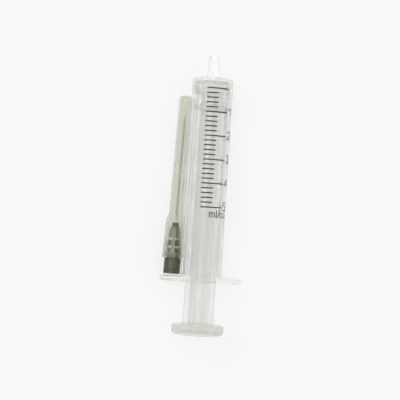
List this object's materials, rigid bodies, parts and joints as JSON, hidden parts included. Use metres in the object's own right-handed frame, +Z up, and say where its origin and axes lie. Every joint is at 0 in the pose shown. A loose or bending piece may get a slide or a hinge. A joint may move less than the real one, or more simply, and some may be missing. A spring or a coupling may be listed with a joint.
{
  "type": "syringe",
  "caption": "Clear 5 ml luer slip syringe of two parts, barrel and plunger, with a printed scale, lying beside its needle in a clear sheath.",
  "frame": {"origin": "on the surface that the syringe lies on, under the middle of its length and width", "axes": "+Y towards the nozzle, along the length; +Z up, away from the surface; the needle lies beside the barrel on -X"},
  "size_m": [0.0286, 0.0966, 0.0181],
  "materials": {
    "clear_barrel": "clear natural polypropylene, glossy",
    "scale_ink": "dark printed ink",
    "clear_plunger": "natural polypropylene, satin",
    "hub_plastic": "black polypropylene, semi-gloss",
    "needle_steel": "bright drawn stainless steel",
    "bond_resin": "clear epoxy bead",
    "clear_sheath": "clear natural polypropylene, glossy"
  },
  "bodies": {
    "barrel": {"barrel": "clear_barrel", "scale_marks": "scale_ink", "needle_hub": "hub_plastic", "cannula": "needle_steel", "needle_bond": "bond_resin"},
    "plunger": {"plunger": "clear_plunger"},
    "sheath": {"needle_sheath": "clear_sheath"}
  },
  "joints": [
    {"name": "plunger_slide", "type": "slide", "parent": "barrel", "child": "plunger", "axis": [0, -0.9997, 0.0235], "range_m": [0, 0.0558]},
    {"name": "sheath_slide", "type": "slide", "parent": "barrel", "child": "sheath", "axis": [-0.0087, 1, 0], "range_m": [0, 0.052]}
  ]
}
